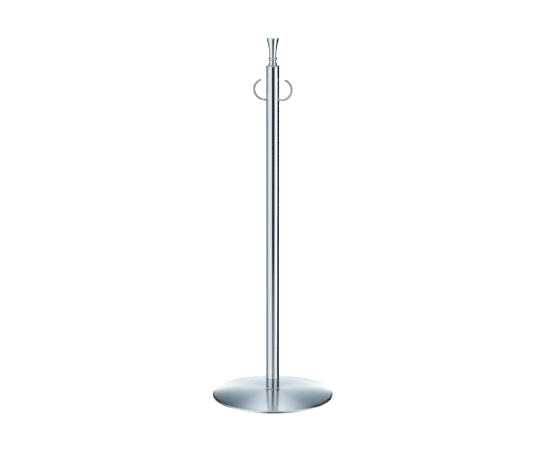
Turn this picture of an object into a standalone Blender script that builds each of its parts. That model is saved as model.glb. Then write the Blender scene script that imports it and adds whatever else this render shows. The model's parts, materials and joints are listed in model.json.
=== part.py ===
"""Rope barrier post: a weighted domed base, a steel tube with two rope hooks, and a finial.

Metres, +Z up. The origin is on the floor, on the post's axis, and both hooks lie in the XZ plane.
The post screws onto a bolt that stands up out of the base, and the finial screws into the post's cap.
Faces that touch on the real object are drawn FIT apart.
"""

import math

import bmesh
import bpy
from mathutils import Matrix, Vector

MM = 0.001

# Driving sizes.
BASE_RADIUS = 165.0 * MM
TUBE_RADIUS = 17.75 * MM
TUBE_WALL = 1.5 * MM
FINIAL_RIM_HEIGHT = 1000.2 * MM
CAP_TOP_HEIGHT = 925.7 * MM
FIT = 0.3 * MM

# Thread sizes: M12 joins the post to the base, M10 the finial to the post, M5 holds the hooks.
M12_RADIUS = 6.0 * MM
M10_RADIUS = 5.0 * MM
M5_RADIUS = 2.5 * MM
THROUGH_GAP = 0.5 * MM

# Base: rubber pad, ballast, spun cover with a rolled rim.
PAD_RADIUS = 157.0 * MM
PAD_THICKNESS = 3.0 * MM
PAD_HOLE_RADIUS = 22.0 * MM
PAD_BEVEL = 0.8 * MM
BALLAST_EDGE = 1.0 * MM
COVER_SHEET = 1.2 * MM
COVER_TOP = 23.0 * MM
COVER_SEAT_RADIUS = 19.0 * MM
RIM_EDGE_RADIUS = 5.0 * MM
RIM_CURL_RADIUS = 2.2 * MM
RIM_CURL_END = math.radians(-125)
RIM_CLEARANCE = 1.0 * MM
DOME_POWER = 2.6
DOME_CROWDING = 0.8
BALLAST_GAP = 0.4 * MM
BALLAST_RADIUS = 157.5 * MM
BALLAST_POCKET_RADIUS = 20.0 * MM
BALLAST_POCKET_TOP = 12.9 * MM

# Bolt, washers and nut that clamp the base together.
BOLT_HEAD_BOTTOM = 2.3 * MM
BOLT_HEAD_THICKNESS = 7.5 * MM
BOLT_LENGTH = 50.0 * MM
M12_ACROSS_FLATS = 18.5 * MM
HEXAGON_FACE_SHARE = 0.96
HEXAGON_CHAMFER_ANGLE = math.radians(30)
BOLT_WASHER_RADIUS = 17.0 * MM
NUT_WASHER_RADIUS = 12.0 * MM
NUT_WASHER_THICKNESS = 2.0 * MM
LOCK_WASHER_RADIUS = 10.5 * MM
LOCK_WASHER_THICKNESS = 2.5 * MM
LOCK_WASHER_SLOT = 1.2 * MM
LOCK_WASHER_LEAN = math.radians(70)
CLAMP_NUT_THICKNESS = 6.0 * MM

# Post: gasket, tube, threaded plug in the foot, cap in the head.
GASKET_THICKNESS = 1.0 * MM
GASKET_INNER_RADIUS = 13.0 * MM
GASKET_INSET = 0.2 * MM
FOOT_PLUG_RAISE = 14.7 * MM
FOOT_PLUG_LENGTH = 24.0 * MM
CAP_FLANGE = 3.2 * MM
CAP_EDGE_RADIUS = 1.8 * MM
CAP_SPIGOT_LENGTH = 24.0 * MM

# Hooks: a 6 mm rod, straight out of the tube and then round in an open ring.
HOOK_ROD_RADIUS = 3.5 * MM
HOOK_SHANK_HEIGHT = 830.7 * MM
HOOK_RING_RADIUS = 28.0 * MM
HOOK_RING_OFFSET = 23.0 * MM
HOOK_TIP_ANGLE = math.radians(66)
HOOK_SHANK_START = 6.0 * MM
HOOK_THREAD_END = 16.0 * MM
HOOK_THREAD_SHARE = 0.95
HOOK_STEPS = 22
HOOK_TIP_STEPS = 3
HOOK_TIP_ROUND = math.radians(80)
HOOK_BLOCK_LENGTH = 24.0 * MM
SET_SCREW_OFFSET = 9.5 * MM
SET_SCREW_LENGTH = 6.0 * MM
SET_SCREW_SOCKET = 2.5 * MM
SET_SCREW_SOCKET_DEPTH = 2.5 * MM

# Finial: washer, collar, bead ring and trumpet on one stud.
FINIAL_WASHER_THICKNESS = 0.8 * MM
FINIAL_WASHER_RADIUS = 11.0 * MM
COLLAR_HEIGHT = 12.2 * MM
COLLAR_FOOT_RADIUS = 12.0 * MM
COLLAR_LIP = 0.8 * MM
NECK_RADIUS = 9.6 * MM
COLLAR_FLARE_HEIGHT = 8.0 * MM
RING_RADIUS = 12.1 * MM
RING_HEIGHT = 6.6 * MM
TRUMPET_WAIST = 8.0 * MM
TRUMPET_RIM_RADIUS = 17.5 * MM
TRUMPET_POWER = 1.5
TRUMPET_EDGE_RADIUS = 0.7 * MM
TRUMPET_CROWN = 0.6 * MM
TRUMPET_BORE_DEPTH = 18.0 * MM
STUD_BELOW_CAP_TOP = 15.6 * MM
CHAMFER = 0.6 * MM
EDGE_BREAK = 0.25 * MM
OVERCUT = 1.0 * MM
WELD_DISTANCE = 0.01 * MM

# Facets of the turned parts.
BASE_SEGMENTS = 48
POST_SEGMENTS = 32
SMALL_SEGMENTS = 24
SHARP_ANGLE = math.radians(35)

# Heights that follow from the sizes above.
GASKET_BOTTOM = COVER_TOP + FIT
TUBE_BOTTOM = GASKET_BOTTOM + GASKET_THICKNESS + FIT
TUBE_TOP = CAP_TOP_HEIGHT - CAP_FLANGE - FIT
TUBE_BORE = TUBE_RADIUS - TUBE_WALL
PLUG_RADIUS = TUBE_BORE - FIT
COLLAR_BOTTOM = CAP_TOP_HEIGHT + FIT + FINIAL_WASHER_THICKNESS + FIT
RING_BOTTOM = COLLAR_BOTTOM + COLLAR_HEIGHT + FIT
TRUMPET_BOTTOM = RING_BOTTOM + RING_HEIGHT + FIT

STAINLESS_SATIN = ("stainless_satin", (0.62, 0.66, 0.69), 0.30, 1.0)
STAINLESS_POLISHED = ("stainless_polished", (0.72, 0.74, 0.76), 0.12, 1.0)
CHROME = ("chrome", (0.80, 0.83, 0.85), 0.06, 1.0)
ZINC_STEEL = ("zinc_steel", (0.58, 0.58, 0.55), 0.35, 1.0)
PLAIN_STEEL = ("plain_steel", (0.42, 0.42, 0.43), 0.45, 1.0)
CAST_IRON = ("cast_iron", (0.09, 0.09, 0.10), 0.75, 0.3)
RUBBER = ("rubber", (0.02, 0.02, 0.02), 0.85, 0.0)
NYLON = ("nylon", (0.80, 0.80, 0.76), 0.50, 0.0)


def clear_scene():
    for obj in list(bpy.data.objects):
        bpy.data.objects.remove(obj)


def new_collection(name):
    collection = bpy.data.collections.new(name)
    bpy.context.scene.collection.children.link(collection)
    return collection


def material(finish):
    """The Principled material of a finish, made the first time that it is asked for."""
    name, colour, roughness, metallic = finish
    found = bpy.data.materials.get(name)
    if found:
        return found
    made = bpy.data.materials.new(name)
    made.use_nodes = True
    shader = made.node_tree.nodes["Principled BSDF"]
    shader.inputs["Base Color"].default_value = (*colour, 1.0)
    shader.inputs["Roughness"].default_value = roughness
    shader.inputs["Metallic"].default_value = metallic
    return made


def axis_empty(name, height, parent=None):
    """An empty on the post's axis, which the pieces of one moving body are parented to."""
    empty = bpy.data.objects.new(name, None)
    parts.objects.link(empty)
    empty.parent = parent
    empty.location.z = height - world_height(parent)
    return empty


def world_height(obj):
    height = 0.0
    while obj is not None:
        height += obj.location.z
        obj = obj.parent
    return height


def add_piece(name, data, finish, parent, height, offset=0.0):
    """Puts a mesh or curve in the scene, offset along X, with its own zero at that height."""
    piece = bpy.data.objects.new(name, data)
    parts.objects.link(piece)
    piece.data.materials.append(material(finish))
    piece.parent = parent
    piece.location = (offset, 0.0, height - world_height(parent))
    return piece


def lathe_mesh(name, outline):
    """The outline's edges, at +X. It runs down the outer side, and back up the bore if it has one."""
    mesh = bpy.data.meshes.new(name)
    last = len(outline) - 1
    edges = [(i, i + 1) for i in range(last)]
    if all(radius > 0.0 for radius, _ in outline):
        edges.append((last, 0))
    mesh.from_pydata([(radius, 0.0, z) for radius, z in outline], edges, [])
    return mesh


def spin(obj, segments):
    screw = obj.modifiers.new("Lathe", "SCREW")
    screw.axis = "Z"
    screw.steps = segments
    screw.render_steps = segments
    screw.use_merge_vertices = True
    screw.merge_threshold = 0.00001


def turned(name, outline, finish, parent, height, segments, offset=0.0):
    piece = add_piece(name, lathe_mesh(name, outline), finish, parent, height, offset)
    spin(piece, segments)
    return piece


def ring_outline(outer, inner, thickness):
    """A washer: a flat ring from z = 0 up, with its two outer edges broken."""
    return [
        (inner, thickness),
        (outer - EDGE_BREAK, thickness),
        (outer, thickness - EDGE_BREAK),
        (outer, EDGE_BREAK),
        (outer - EDGE_BREAK, 0.0),
        (inner, 0.0),
    ]


def arc(radius, height, size, start, end, steps):
    """Points on an arc about (radius, height), from one angle to another above the +X direction."""
    angles = [start + (end - start) * i / steps for i in range(steps + 1)]
    return [(radius + size * math.cos(a), height + size * math.sin(a)) for a in angles]


def cutter(name, mesh, matrix):
    tool = bpy.data.objects.new(name, mesh)
    cutters.objects.link(tool)
    tool.matrix_world = matrix
    tool.hide_render = True
    tool.display_type = "WIRE"
    return tool


def rod_mesh(name, radius, length, sides):
    """A capped prism or cylinder along Z, centred on its own origin."""
    mesh = bpy.data.meshes.new(name)
    shape = bmesh.new()
    bmesh.ops.create_cone(
        shape, cap_ends=True, segments=sides, radius1=radius, radius2=radius, depth=length
    )
    shape.to_mesh(mesh)
    shape.free()
    return mesh


def turned_tool(piece, name, outline, operation):
    """Cuts or joins a turned shape, whose zero is the piece's own."""
    tool = cutter(name, lathe_mesh(name, outline), piece.matrix_basis)
    tool.parent = piece.parent
    spin(tool, SMALL_SEGMENTS)
    combine(piece, tool, operation)


def combine(piece, tool, operation="DIFFERENCE"):
    boolean = piece.modifiers.new(operation.title(), "BOOLEAN")
    boolean.operation = operation
    boolean.object = tool
    boolean.solver = "EXACT"


def drill(piece, radius, length, centre, turn=None):
    """Cuts a round hole about a world point. turn takes the hole's axis from +Z to its own."""
    matrix = Matrix.Translation(centre) @ (turn or Matrix.Identity(4))
    mesh = rod_mesh("drill_" + piece.name, radius, length, SMALL_SEGMENTS)
    combine(piece, cutter("drill_" + piece.name, mesh, matrix))


def chamfered_hexagon(name, across_flats, thickness, finish, parent, height, both_ends):
    """A bolt head or nut: a hexagon whose corners are turned off at its lower end, or at both."""
    corner = across_flats / math.sqrt(3.0)
    mesh = rod_mesh(name, corner, thickness, 6)
    mesh.transform(Matrix.Translation((0.0, 0.0, thickness / 2)))
    piece = add_piece(name, mesh, finish, parent, height)
    face = HEXAGON_FACE_SHARE * across_flats / 2
    reach = corner + OVERCUT
    drop = (reach - face) * math.tan(HEXAGON_CHAMFER_ANGLE)
    if both_ends:
        outline = [(0.0, thickness), (face, thickness), (reach, thickness - drop)]
    else:
        outline = [(0.0, thickness + OVERCUT), (reach, thickness + OVERCUT)]
    outline += [(reach, drop), (face, 0.0), (0.0, 0.0)]
    turned_tool(piece, "blank_" + name, outline, "INTERSECT")
    return piece


def dome_height(radius):
    """The outside of the cover: flat under the post's foot, then falling ever faster to the rim."""
    if radius <= COVER_SEAT_RADIUS:
        return COVER_TOP
    share = (radius - COVER_SEAT_RADIUS) / (DOME_EDGE[0] - COVER_SEAT_RADIUS)
    return COVER_TOP - (COVER_TOP - DOME_EDGE[1]) * share**DOME_POWER


def rim_start():
    """Where the dome meets its rounded edge, and the angle there of the edge's own radius.

    The dome's slope at its edge depends on where the edge is, so it is found by a few rounds.
    """
    slope = 0.0
    for _ in range(20):
        edge_radius = RIM_EDGE_CENTRE[0] + RIM_EDGE_RADIUS * math.sin(slope)
        edge_height = RIM_EDGE_CENTRE[1] + RIM_EDGE_RADIUS * math.cos(slope)
        fall = COVER_TOP - edge_height
        slope = math.atan(DOME_POWER * fall / (edge_radius - COVER_SEAT_RADIUS))
    return (edge_radius, edge_height), math.pi / 2 - slope


RIM_HEIGHT = RIM_CLEARANCE + RIM_CURL_RADIUS
RIM_EDGE_CENTRE = (BASE_RADIUS - RIM_EDGE_RADIUS, RIM_HEIGHT)
RIM_CURL_CENTRE = (BASE_RADIUS - RIM_CURL_RADIUS, RIM_HEIGHT)
DOME_EDGE, RIM_EDGE_START = rim_start()


def dome_outline(depth, outer_radius, steps):
    """Points at a depth below the cover's outside, from the flat seat out to a radius."""
    points = []
    for i in range(steps + 1):
        share = (i / steps) ** DOME_CROWDING
        radius = COVER_SEAT_RADIUS + (outer_radius - COVER_SEAT_RADIUS) * share
        fall = COVER_TOP - dome_height(radius)
        run = max(radius - COVER_SEAT_RADIUS, 1e-9)
        slope = math.atan(DOME_POWER * fall / run)
        points.append(
            (radius - depth * math.sin(slope), dome_height(radius) - depth * math.cos(slope))
        )
    return points


def make_floor_pad(body):
    outline = [
        (PAD_HOLE_RADIUS, PAD_THICKNESS),
        (PAD_RADIUS, PAD_THICKNESS),
        (PAD_RADIUS, PAD_BEVEL),
        (PAD_RADIUS - PAD_BEVEL, 0.0),
        (PAD_HOLE_RADIUS, 0.0),
    ]
    turned("floor_pad", outline, RUBBER, body, 0.0, BASE_SEGMENTS)


def make_ballast_plate(body):
    """Cast disc that follows the cover's underside, with a pocket below for the bolt's head."""
    bottom = PAD_THICKNESS + FIT
    bore = M12_RADIUS + THROUGH_GAP
    top = dome_outline(COVER_SHEET + BALLAST_GAP, BALLAST_RADIUS, 8)
    outline = [(bore, COVER_TOP - COVER_SHEET - BALLAST_GAP)] + top
    outline += [
        (BALLAST_RADIUS, top[-1][1] - BALLAST_EDGE),
        (BALLAST_RADIUS, bottom + BALLAST_EDGE),
        (BALLAST_RADIUS - BALLAST_EDGE, bottom),
        (BALLAST_POCKET_RADIUS, bottom),
        (BALLAST_POCKET_RADIUS, BALLAST_POCKET_TOP),
        (bore, BALLAST_POCKET_TOP),
    ]
    turned("ballast_plate", outline, CAST_IRON, body, 0.0, BASE_SEGMENTS)


def make_base_cover(body):
    """Spun dome: one sheet from the bolt hole out over the ballast, round the edge and curled in."""
    bore = M12_RADIUS + THROUGH_GAP
    edge_in = RIM_EDGE_RADIUS - COVER_SHEET
    curl_in = RIM_CURL_RADIUS - COVER_SHEET
    outside = [(bore, COVER_TOP)] + dome_outline(0.0, DOME_EDGE[0], 8)
    outside += arc(*RIM_EDGE_CENTRE, RIM_EDGE_RADIUS, RIM_EDGE_START, 0.0, 4)[1:]
    outside += arc(*RIM_CURL_CENTRE, RIM_CURL_RADIUS, 0.0, RIM_CURL_END, 4)[1:]
    inside = arc(*RIM_CURL_CENTRE, curl_in, RIM_CURL_END, 0.0, 3)
    inside += arc(*RIM_EDGE_CENTRE, edge_in, 0.0, RIM_EDGE_START, 4)[1:]
    inside += dome_outline(COVER_SHEET, DOME_EDGE[0], 8)[::-1][1:]
    inside.append((bore, COVER_TOP - COVER_SHEET))
    turned("base_cover", outside + inside, STAINLESS_SATIN, body, 0.0, BASE_SEGMENTS)


def make_base_bolt(body):
    """M12 hexagon bolt, head down in the ballast's pocket. Its upper half carries the post."""
    bolt = chamfered_hexagon(
        "base_bolt", M12_ACROSS_FLATS, BOLT_HEAD_THICKNESS, ZINC_STEEL, body,
        BOLT_HEAD_BOTTOM, both_ends=False,
    )
    tip = BOLT_HEAD_THICKNESS + BOLT_LENGTH
    root = BOLT_HEAD_THICKNESS - OVERCUT
    outline = [
        (0.0, tip),
        (M12_RADIUS - 2 * CHAMFER, tip),
        (M12_RADIUS, tip - 2 * CHAMFER),
        (M12_RADIUS, root),
        (0.0, root),
    ]
    turned_tool(bolt, "bolt_shank", outline, "UNION")


def make_base_clamp(body):
    """The washers and the thin nut that clamp cover and ballast between them and the bolt's head."""
    bore = M12_RADIUS + FIT
    head_top = BOLT_HEAD_BOTTOM + BOLT_HEAD_THICKNESS
    pocket = BALLAST_POCKET_TOP - head_top - 2 * FIT
    outline = ring_outline(BOLT_WASHER_RADIUS, bore, pocket)
    turned("bolt_washer", outline, ZINC_STEEL, body, head_top + FIT, POST_SEGMENTS)

    washer_bottom = COVER_TOP + FIT
    outline = ring_outline(NUT_WASHER_RADIUS, bore, NUT_WASHER_THICKNESS)
    turned("nut_washer", outline, ZINC_STEEL, body, washer_bottom, POST_SEGMENTS)

    lock_bottom = washer_bottom + NUT_WASHER_THICKNESS + FIT
    outline = ring_outline(LOCK_WASHER_RADIUS, bore, LOCK_WASHER_THICKNESS)
    lock = turned("lock_washer", outline, PLAIN_STEEL, body, lock_bottom, POST_SEGMENTS)
    slot = rod_mesh("washer_slot", LOCK_WASHER_RADIUS, LOCK_WASHER_SLOT, 4)
    middle = Vector((0.0, LOCK_WASHER_RADIUS, lock_bottom + LOCK_WASHER_THICKNESS / 2))
    lean = Matrix.Rotation(LOCK_WASHER_LEAN, 4, "Y")
    combine(lock, cutter("washer_slot", slot, Matrix.Translation(middle) @ lean))

    nut_bottom = lock_bottom + LOCK_WASHER_THICKNESS + FIT
    nut = chamfered_hexagon(
        "clamp_nut", M12_ACROSS_FLATS, CLAMP_NUT_THICKNESS, ZINC_STEEL, body, nut_bottom,
        both_ends=True,
    )
    drill(nut, bore, 4 * CLAMP_NUT_THICKNESS, (0.0, 0.0, nut_bottom))


def make_post_gasket(body):
    outer = TUBE_RADIUS - GASKET_INSET
    outline = ring_outline(outer, GASKET_INNER_RADIUS, GASKET_THICKNESS)
    turned("post_gasket", outline, NYLON, body, GASKET_BOTTOM, POST_SEGMENTS)


def make_post_tube(body):
    length = TUBE_TOP - TUBE_BOTTOM
    outline = ring_outline(TUBE_RADIUS, TUBE_BORE, length)
    tube = turned("post_tube", outline, STAINLESS_POLISHED, body, TUBE_BOTTOM, POST_SEGMENTS)
    across = Matrix.Rotation(math.pi / 2, 4, "Y")
    drill(tube, HOOK_ROD_RADIUS + FIT, 4 * TUBE_RADIUS, (0.0, 0.0, HOOK_SHANK_HEIGHT), across)


def make_foot_plug(body):
    """Threaded steel slug fixed in the tube's foot, above the nut, that screws onto the bolt."""
    bore = M12_RADIUS + FIT
    length = FOOT_PLUG_LENGTH
    outline = [
        (bore, length),
        (PLUG_RADIUS - CHAMFER, length),
        (PLUG_RADIUS, length - CHAMFER),
        (PLUG_RADIUS, CHAMFER),
        (PLUG_RADIUS - CHAMFER, 0.0),
        (bore + CHAMFER, 0.0),
        (bore, CHAMFER),
    ]
    height = TUBE_BOTTOM + FOOT_PLUG_RAISE
    turned("foot_plug", outline, PLAIN_STEEL, body, height, POST_SEGMENTS)


def make_top_cap(body):
    """Turned cap: a flange flush with the tube, and a threaded spigot fixed inside it."""
    bore = M10_RADIUS + FIT
    spigot = CAP_SPIGOT_LENGTH
    top = spigot + CAP_FLANGE
    round_radius = TUBE_RADIUS - CAP_EDGE_RADIUS
    outline = [(bore, top - CHAMFER), (bore + CHAMFER, top)]
    outline += arc(
        round_radius, top - CAP_EDGE_RADIUS, CAP_EDGE_RADIUS, math.pi / 2, 0.0, 4
    )
    outline += [
        (TUBE_RADIUS, spigot),
        (PLUG_RADIUS, spigot),
        (PLUG_RADIUS, CHAMFER),
        (PLUG_RADIUS - CHAMFER, 0.0),
        (bore, 0.0),
    ]
    turned("top_cap", outline, STAINLESS_POLISHED, body, CAP_TOP_HEIGHT - top, POST_SEGMENTS)


def make_hook_block(body):
    """Steel slug inside the tube, cross-drilled for both hooks and drilled down for their screws."""
    length = HOOK_BLOCK_LENGTH
    bottom = HOOK_SHANK_HEIGHT - length / 2
    outline = [
        (0.0, length),
        (PLUG_RADIUS - CHAMFER, length),
        (PLUG_RADIUS, length - CHAMFER),
        (PLUG_RADIUS, CHAMFER),
        (PLUG_RADIUS - CHAMFER, 0.0),
        (0.0, 0.0),
    ]
    block = turned("hook_block", outline, PLAIN_STEEL, body, bottom, POST_SEGMENTS)
    across = Matrix.Rotation(math.pi / 2, 4, "Y")
    drill(block, HOOK_ROD_RADIUS + FIT, 4 * TUBE_RADIUS, (0.0, 0.0, HOOK_SHANK_HEIGHT), across)
    for side in (-1, 1):
        centre = (side * SET_SCREW_OFFSET, 0.0, HOOK_SHANK_HEIGHT + length / 2)
        drill(block, M5_RADIUS + FIT, length, centre)


def hook_path(side):
    """(x, z, share of the rod's radius) along one hook, from inside the post to its rounded tip."""
    thread = HOOK_THREAD_SHARE
    path = [(HOOK_SHANK_START, 0.0, thread**4), (HOOK_SHANK_START + CHAMFER, 0.0, thread)]
    path += [(HOOK_THREAD_END, 0.0, thread), (HOOK_THREAD_END + CHAMFER / 2, 0.0, 1.0)]
    for i in range(HOOK_STEPS + 1):
        angle = -math.pi / 2 + (HOOK_TIP_ANGLE + math.pi / 2) * i / HOOK_STEPS
        path.append((
            HOOK_RING_OFFSET + HOOK_RING_RADIUS * math.cos(angle),
            HOOK_RING_RADIUS * (1.0 + math.sin(angle)),
            1.0,
        ))
    along = Vector((-math.sin(HOOK_TIP_ANGLE), math.cos(HOOK_TIP_ANGLE)))
    end = Vector(path[-1][:2])
    for i in range(HOOK_TIP_STEPS):
        turn = HOOK_TIP_ROUND * (i + 1) / HOOK_TIP_STEPS
        reach = end + along * HOOK_ROD_RADIUS * math.sin(turn)
        path.append((reach.x, reach.y, math.cos(turn)))
    return [(side * x, z, share) for x, z, share in path]


def make_hook(name, side, body):
    """A bent 6 mm rod: swept along its path as a curve, then made a closed mesh."""
    path = hook_path(side)
    curve = bpy.data.curves.new(name + "_path", "CURVE")
    curve.dimensions = "3D"
    curve.bevel_depth = HOOK_ROD_RADIUS
    curve.bevel_resolution = 3
    curve.use_fill_caps = True
    spline = curve.splines.new("POLY")
    spline.points.add(len(path) - 1)
    for point, (x, z, share) in zip(spline.points, path):
        point.co = (x, 0.0, z, 1.0)
        point.radius = share
    guide = bpy.data.objects.new(name + "_path", curve)
    cutters.objects.link(guide)
    bpy.context.view_layer.update()
    graph = bpy.context.evaluated_depsgraph_get()
    mesh = bpy.data.meshes.new_from_object(guide.evaluated_get(graph))
    mesh.name = name
    bpy.data.objects.remove(guide)
    shape = bmesh.new()
    shape.from_mesh(mesh)
    bmesh.ops.remove_doubles(shape, verts=shape.verts, dist=WELD_DISTANCE)
    shape.to_mesh(mesh)
    shape.free()
    add_piece(name, mesh, STAINLESS_POLISHED, body, HOOK_SHANK_HEIGHT)


def make_set_screw(name, side, body):
    """M5 socket screw that presses on one hook's shank from above."""
    radius = M5_RADIUS
    outline = [
        (0.0, SET_SCREW_LENGTH),
        (radius - EDGE_BREAK, SET_SCREW_LENGTH),
        (radius, SET_SCREW_LENGTH - EDGE_BREAK),
        (radius, CHAMFER),
        (radius - CHAMFER, 0.0),
        (0.0, 0.0),
    ]
    bottom = HOOK_SHANK_HEIGHT + HOOK_ROD_RADIUS + FIT
    offset = side * SET_SCREW_OFFSET
    screw = turned(name, outline, PLAIN_STEEL, body, bottom, SMALL_SEGMENTS, offset)
    corner = SET_SCREW_SOCKET / math.sqrt(3.0)
    socket = rod_mesh("socket_" + name, corner, 2 * SET_SCREW_SOCKET_DEPTH, 6)
    centre = Vector((offset, 0.0, bottom + SET_SCREW_LENGTH))
    combine(screw, cutter("socket_" + name, socket, Matrix.Translation(centre)))


def make_finial_washer(body):
    outline = ring_outline(FINIAL_WASHER_RADIUS, M10_RADIUS + FIT, FINIAL_WASHER_THICKNESS)
    turned("finial_washer", outline, NYLON, body, CAP_TOP_HEIGHT + FIT, POST_SEGMENTS)


def make_finial_stud(body):
    """M10 threaded rod, fixed in the trumpet, that screws into the cap."""
    bottom = CAP_TOP_HEIGHT - STUD_BELOW_CAP_TOP
    length = TRUMPET_BOTTOM + TRUMPET_BORE_DEPTH - FIT - bottom
    outline = [
        (0.0, length),
        (M10_RADIUS - CHAMFER, length),
        (M10_RADIUS, length - CHAMFER),
        (M10_RADIUS, 2 * CHAMFER),
        (M10_RADIUS - 2 * CHAMFER, 0.0),
        (0.0, 0.0),
    ]
    turned("finial_stud", outline, ZINC_STEEL, body, bottom, SMALL_SEGMENTS)


def make_finial_collar(body):
    """Lower neck: a small lip on the washer, then a flare that narrows to the neck."""
    bore = M10_RADIUS + FIT
    outline = [(bore, COLLAR_HEIGHT), (NECK_RADIUS + FIT, COLLAR_HEIGHT)]
    steps = 6
    for i in range(steps + 1):
        share = i / steps
        radius = NECK_RADIUS + (COLLAR_FOOT_RADIUS - NECK_RADIUS) * share**2
        outline.append((radius, COLLAR_LIP + COLLAR_FLARE_HEIGHT * (1.0 - share)))
    outline += [(COLLAR_FOOT_RADIUS, 0.0), (bore, 0.0)]
    turned("finial_collar", outline, CHROME, body, COLLAR_BOTTOM, POST_SEGMENTS)


def make_finial_ring(body):
    """Bead ring between collar and trumpet: half-round outside, flat above and below."""
    bore = M10_RADIUS + FIT
    bead = RING_HEIGHT / 2
    outline = [(bore, RING_HEIGHT)]
    outline += arc(RING_RADIUS - bead, bead, bead, math.pi / 2, -math.pi / 2, 8)
    outline.append((bore, 0.0))
    turned("finial_ring", outline, CHROME, body, RING_BOTTOM, POST_SEGMENTS)


def make_finial_trumpet(body):
    """Upper finial: from its waist it flares ever faster to a thin rim with a low crown on top."""
    bore = M10_RADIUS + FIT
    rim = FINIAL_RIM_HEIGHT - TRUMPET_BOTTOM
    flare = rim - TRUMPET_WAIST
    outline = [(0.0, rim + TRUMPET_CROWN)]
    crown_steps = 3
    inner_rim = TRUMPET_RIM_RADIUS - TRUMPET_EDGE_RADIUS
    for i in range(1, crown_steps + 1):
        share = i / (crown_steps + 1)
        outline.append((inner_rim * share, rim + TRUMPET_CROWN * (1.0 - share**2)))
    edge_height = rim - TRUMPET_EDGE_RADIUS
    outline += arc(inner_rim, edge_height, TRUMPET_EDGE_RADIUS, math.pi / 2, 0.0, 2)
    steps = 11
    for i in range(1, steps + 1):
        share = 1.0 - i / steps
        radius = NECK_RADIUS + (TRUMPET_RIM_RADIUS - NECK_RADIUS) * share**TRUMPET_POWER
        outline.append((radius, TRUMPET_WAIST + (edge_height - TRUMPET_WAIST) * share))
    outline += [
        (NECK_RADIUS + FIT, 0.0),
        (bore, 0.0),
        (bore, TRUMPET_BORE_DEPTH),
        (0.0, TRUMPET_BORE_DEPTH),
    ]
    turned("finial_trumpet", outline, CHROME, body, TRUMPET_BOTTOM, POST_SEGMENTS)


def bake(piece, graph):
    """Swaps a piece's modifiers for the mesh that they make, and shades its round faces smooth."""
    mesh = bpy.data.meshes.new_from_object(piece.evaluated_get(graph))
    mesh.name = piece.name
    mesh.shade_smooth()
    mesh.set_sharp_from_angle(angle=SHARP_ANGLE)
    return mesh


def bake_all():
    bpy.context.view_layer.update()
    graph = bpy.context.evaluated_depsgraph_get()
    pieces = [obj for obj in parts.objects if obj.type == "MESH"]
    baked = {piece: bake(piece, graph) for piece in pieces}
    for piece, mesh in baked.items():
        piece.modifiers.clear()
        piece.data = mesh
    for tool in list(cutters.objects):
        bpy.data.objects.remove(tool)
    bpy.data.collections.remove(cutters)


clear_scene()
parts = new_collection("rope_barrier_post")
cutters = new_collection("cutters")

base_body = axis_empty("base_axis", 0.0)
gasket_body = axis_empty("gasket_axis", GASKET_BOTTOM, base_body)
post_body = axis_empty("post_axis", TUBE_BOTTOM, gasket_body)
washer_body = axis_empty("finial_washer_axis", CAP_TOP_HEIGHT, post_body)
finial_body = axis_empty("finial_axis", COLLAR_BOTTOM, washer_body)

make_floor_pad(base_body)
make_ballast_plate(base_body)
make_base_cover(base_body)
make_base_bolt(base_body)
make_base_clamp(base_body)

make_post_gasket(gasket_body)

make_post_tube(post_body)
make_foot_plug(post_body)
make_hook_block(post_body)
for side, word in ((-1, "left"), (1, "right")):
    make_hook("hook_" + word, side, post_body)
    make_set_screw("hook_screw_" + word, side, post_body)
make_top_cap(post_body)

make_finial_washer(washer_body)

make_finial_stud(finial_body)
make_finial_collar(finial_body)
make_finial_ring(finial_body)
make_finial_trumpet(finial_body)

bake_all()
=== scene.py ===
"""Looks of the rope barrier post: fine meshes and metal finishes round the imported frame.

Metres, +Z up. The post stands on its axis at the origin, with its hooks in the XZ plane.
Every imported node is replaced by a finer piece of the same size, and each piece rides on its node's body.
The studio is a pale floor, a white world and boards that only show in reflections.
"""

import json
import math

import bmesh
import bpy
from mathutils import Matrix, Vector


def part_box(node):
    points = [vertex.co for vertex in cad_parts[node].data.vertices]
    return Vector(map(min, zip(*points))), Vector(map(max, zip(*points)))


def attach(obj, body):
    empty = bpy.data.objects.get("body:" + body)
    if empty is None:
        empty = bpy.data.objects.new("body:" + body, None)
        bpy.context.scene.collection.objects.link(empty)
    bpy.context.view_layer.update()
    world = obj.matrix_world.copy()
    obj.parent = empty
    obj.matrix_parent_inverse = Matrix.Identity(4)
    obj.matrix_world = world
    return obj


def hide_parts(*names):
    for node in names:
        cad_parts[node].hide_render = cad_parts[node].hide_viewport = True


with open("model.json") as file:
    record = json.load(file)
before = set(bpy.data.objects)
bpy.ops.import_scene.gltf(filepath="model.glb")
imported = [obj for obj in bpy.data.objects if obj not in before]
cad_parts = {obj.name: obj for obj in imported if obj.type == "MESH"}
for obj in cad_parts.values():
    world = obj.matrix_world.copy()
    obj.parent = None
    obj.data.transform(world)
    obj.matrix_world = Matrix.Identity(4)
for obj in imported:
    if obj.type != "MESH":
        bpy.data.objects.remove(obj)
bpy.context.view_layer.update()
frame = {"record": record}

MM = 0.001
DEGREE = math.pi / 180
SHARP_ANGLE = 32 * DEGREE
ACROSS = Matrix.Rotation(90 * DEGREE, 4, "Y")

# Smoothness of the turned pieces, in steps round the axis.
FINE_STEPS = 256
MEDIUM_STEPS = 160
SMALL_STEPS = 96
CORNER_STEPS = 5

# Threads: pitch and depth. A ridge's crest is at a packed rod's own radius, or 0.05 mm inside a
# packed bore's.
M12_PITCH = 1.75 * MM
M10_PITCH = 1.5 * MM
THREAD_DEPTH_SHARE = 0.54
THREAD_ROWS_PER_PITCH = 8
THREAD_RUN_OUT = 1.0 * MM

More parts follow.
